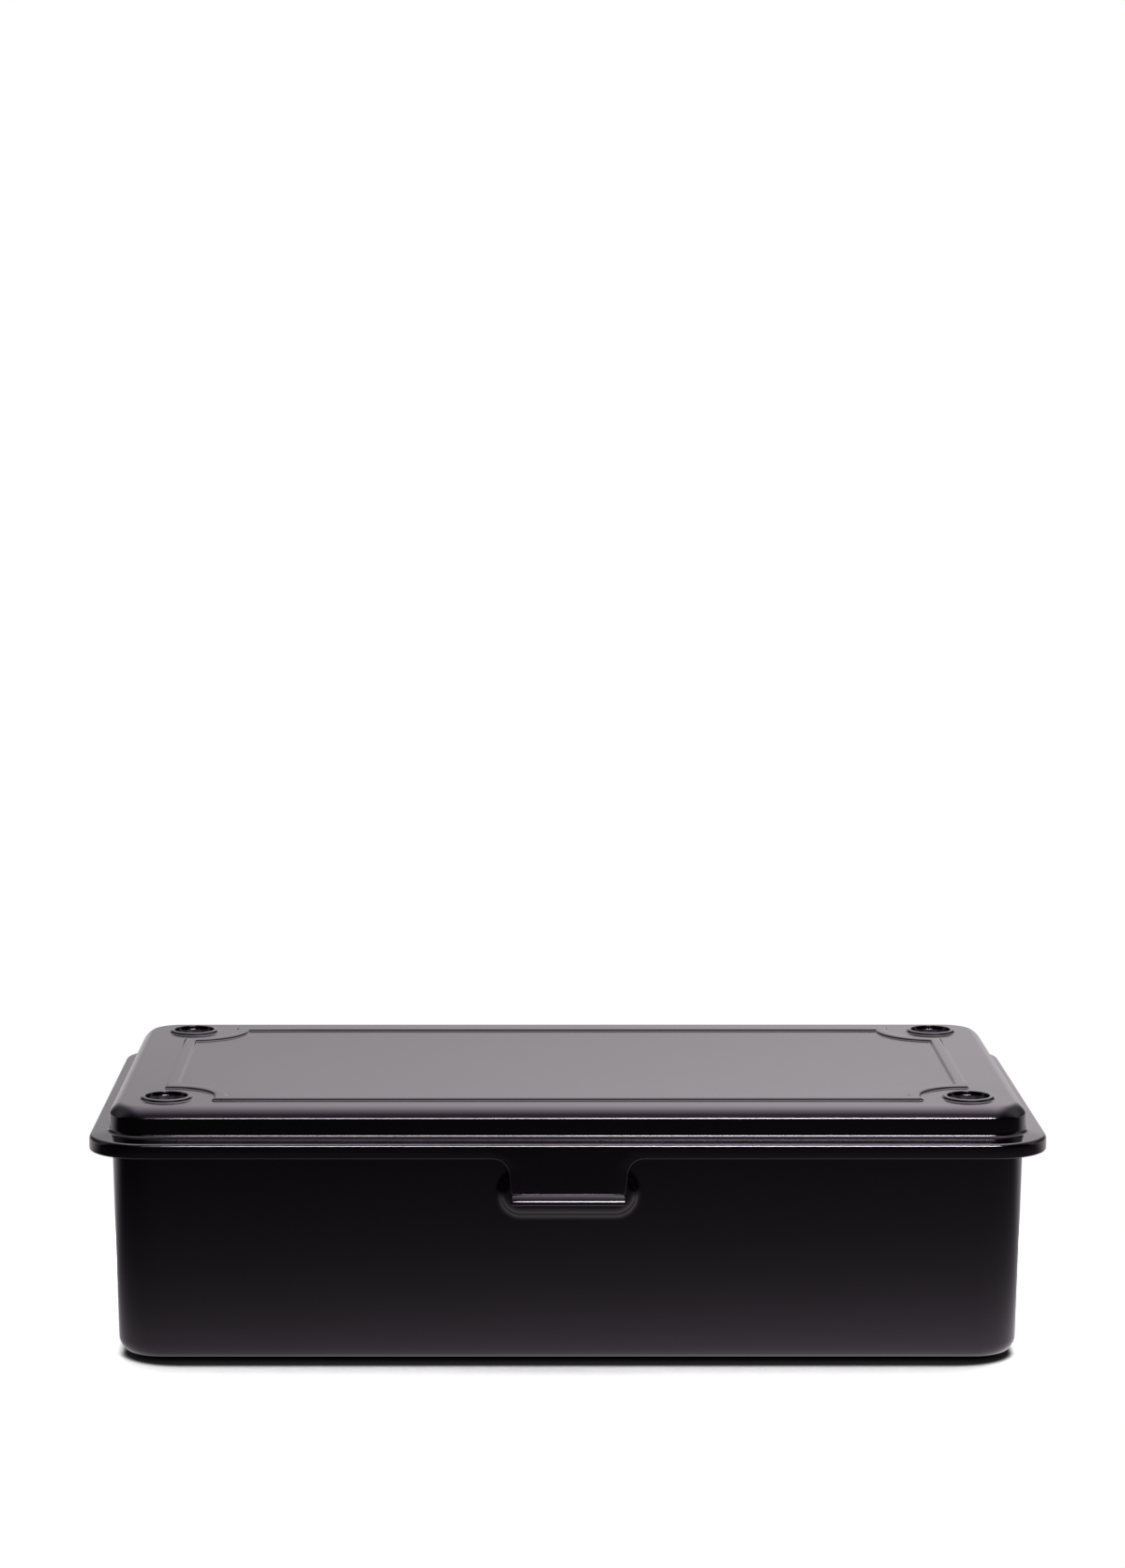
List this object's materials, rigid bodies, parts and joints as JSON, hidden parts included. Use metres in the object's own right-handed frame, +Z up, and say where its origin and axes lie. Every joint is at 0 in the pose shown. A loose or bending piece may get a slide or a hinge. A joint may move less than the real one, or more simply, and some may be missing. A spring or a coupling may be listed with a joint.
{
  "type": "lunch box",
  "caption": "Shallow pressed-steel box with rounded corners, a rear-hinged lid with stacking cups, and a sprung front tongue with a hemmed finger lip.",
  "frame": {"origin": "on the resting plane, at the middle of the flat pad under the base", "axes": "+X to the right along the long side, +Y to the back where the hinges are, +Z up"},
  "size_m": [0.204, 0.1107, 0.0561],
  "materials": {
    "black_paint": "satin black baked paint on sheet steel",
    "bright_steel": "plain zinc-plated steel"
  },
  "bodies": {
    "body": {"body_tray": "black_paint", "hinge_leaf_left": "black_paint", "hinge_leaf_right": "black_paint", "hinge_pin_left": "bright_steel", "hinge_pin_right": "bright_steel", "hinge_rivets_left": "bright_steel", "hinge_rivets_right": "bright_steel"},
    "lid": {"lid_shell": "black_paint"},
    "latch": {"latch_tongue": "black_paint"}
  },
  "joints": [
    {"name": "lid_hinge", "type": "hinge", "parent": "body", "child": "lid", "pos_m": [0, 0.0521, 0.0434], "axis": [-1, 0, 0], "range_deg": [0, 110]},
    {"name": "latch_flex", "type": "hinge", "parent": "lid", "child": "latch", "pos_m": [0, -0.0542, 0.04765], "axis": [-1, 0, 0], "range_deg": [0, 8], "stiffness_Nm_per_rad": 0.45}
  ]
}
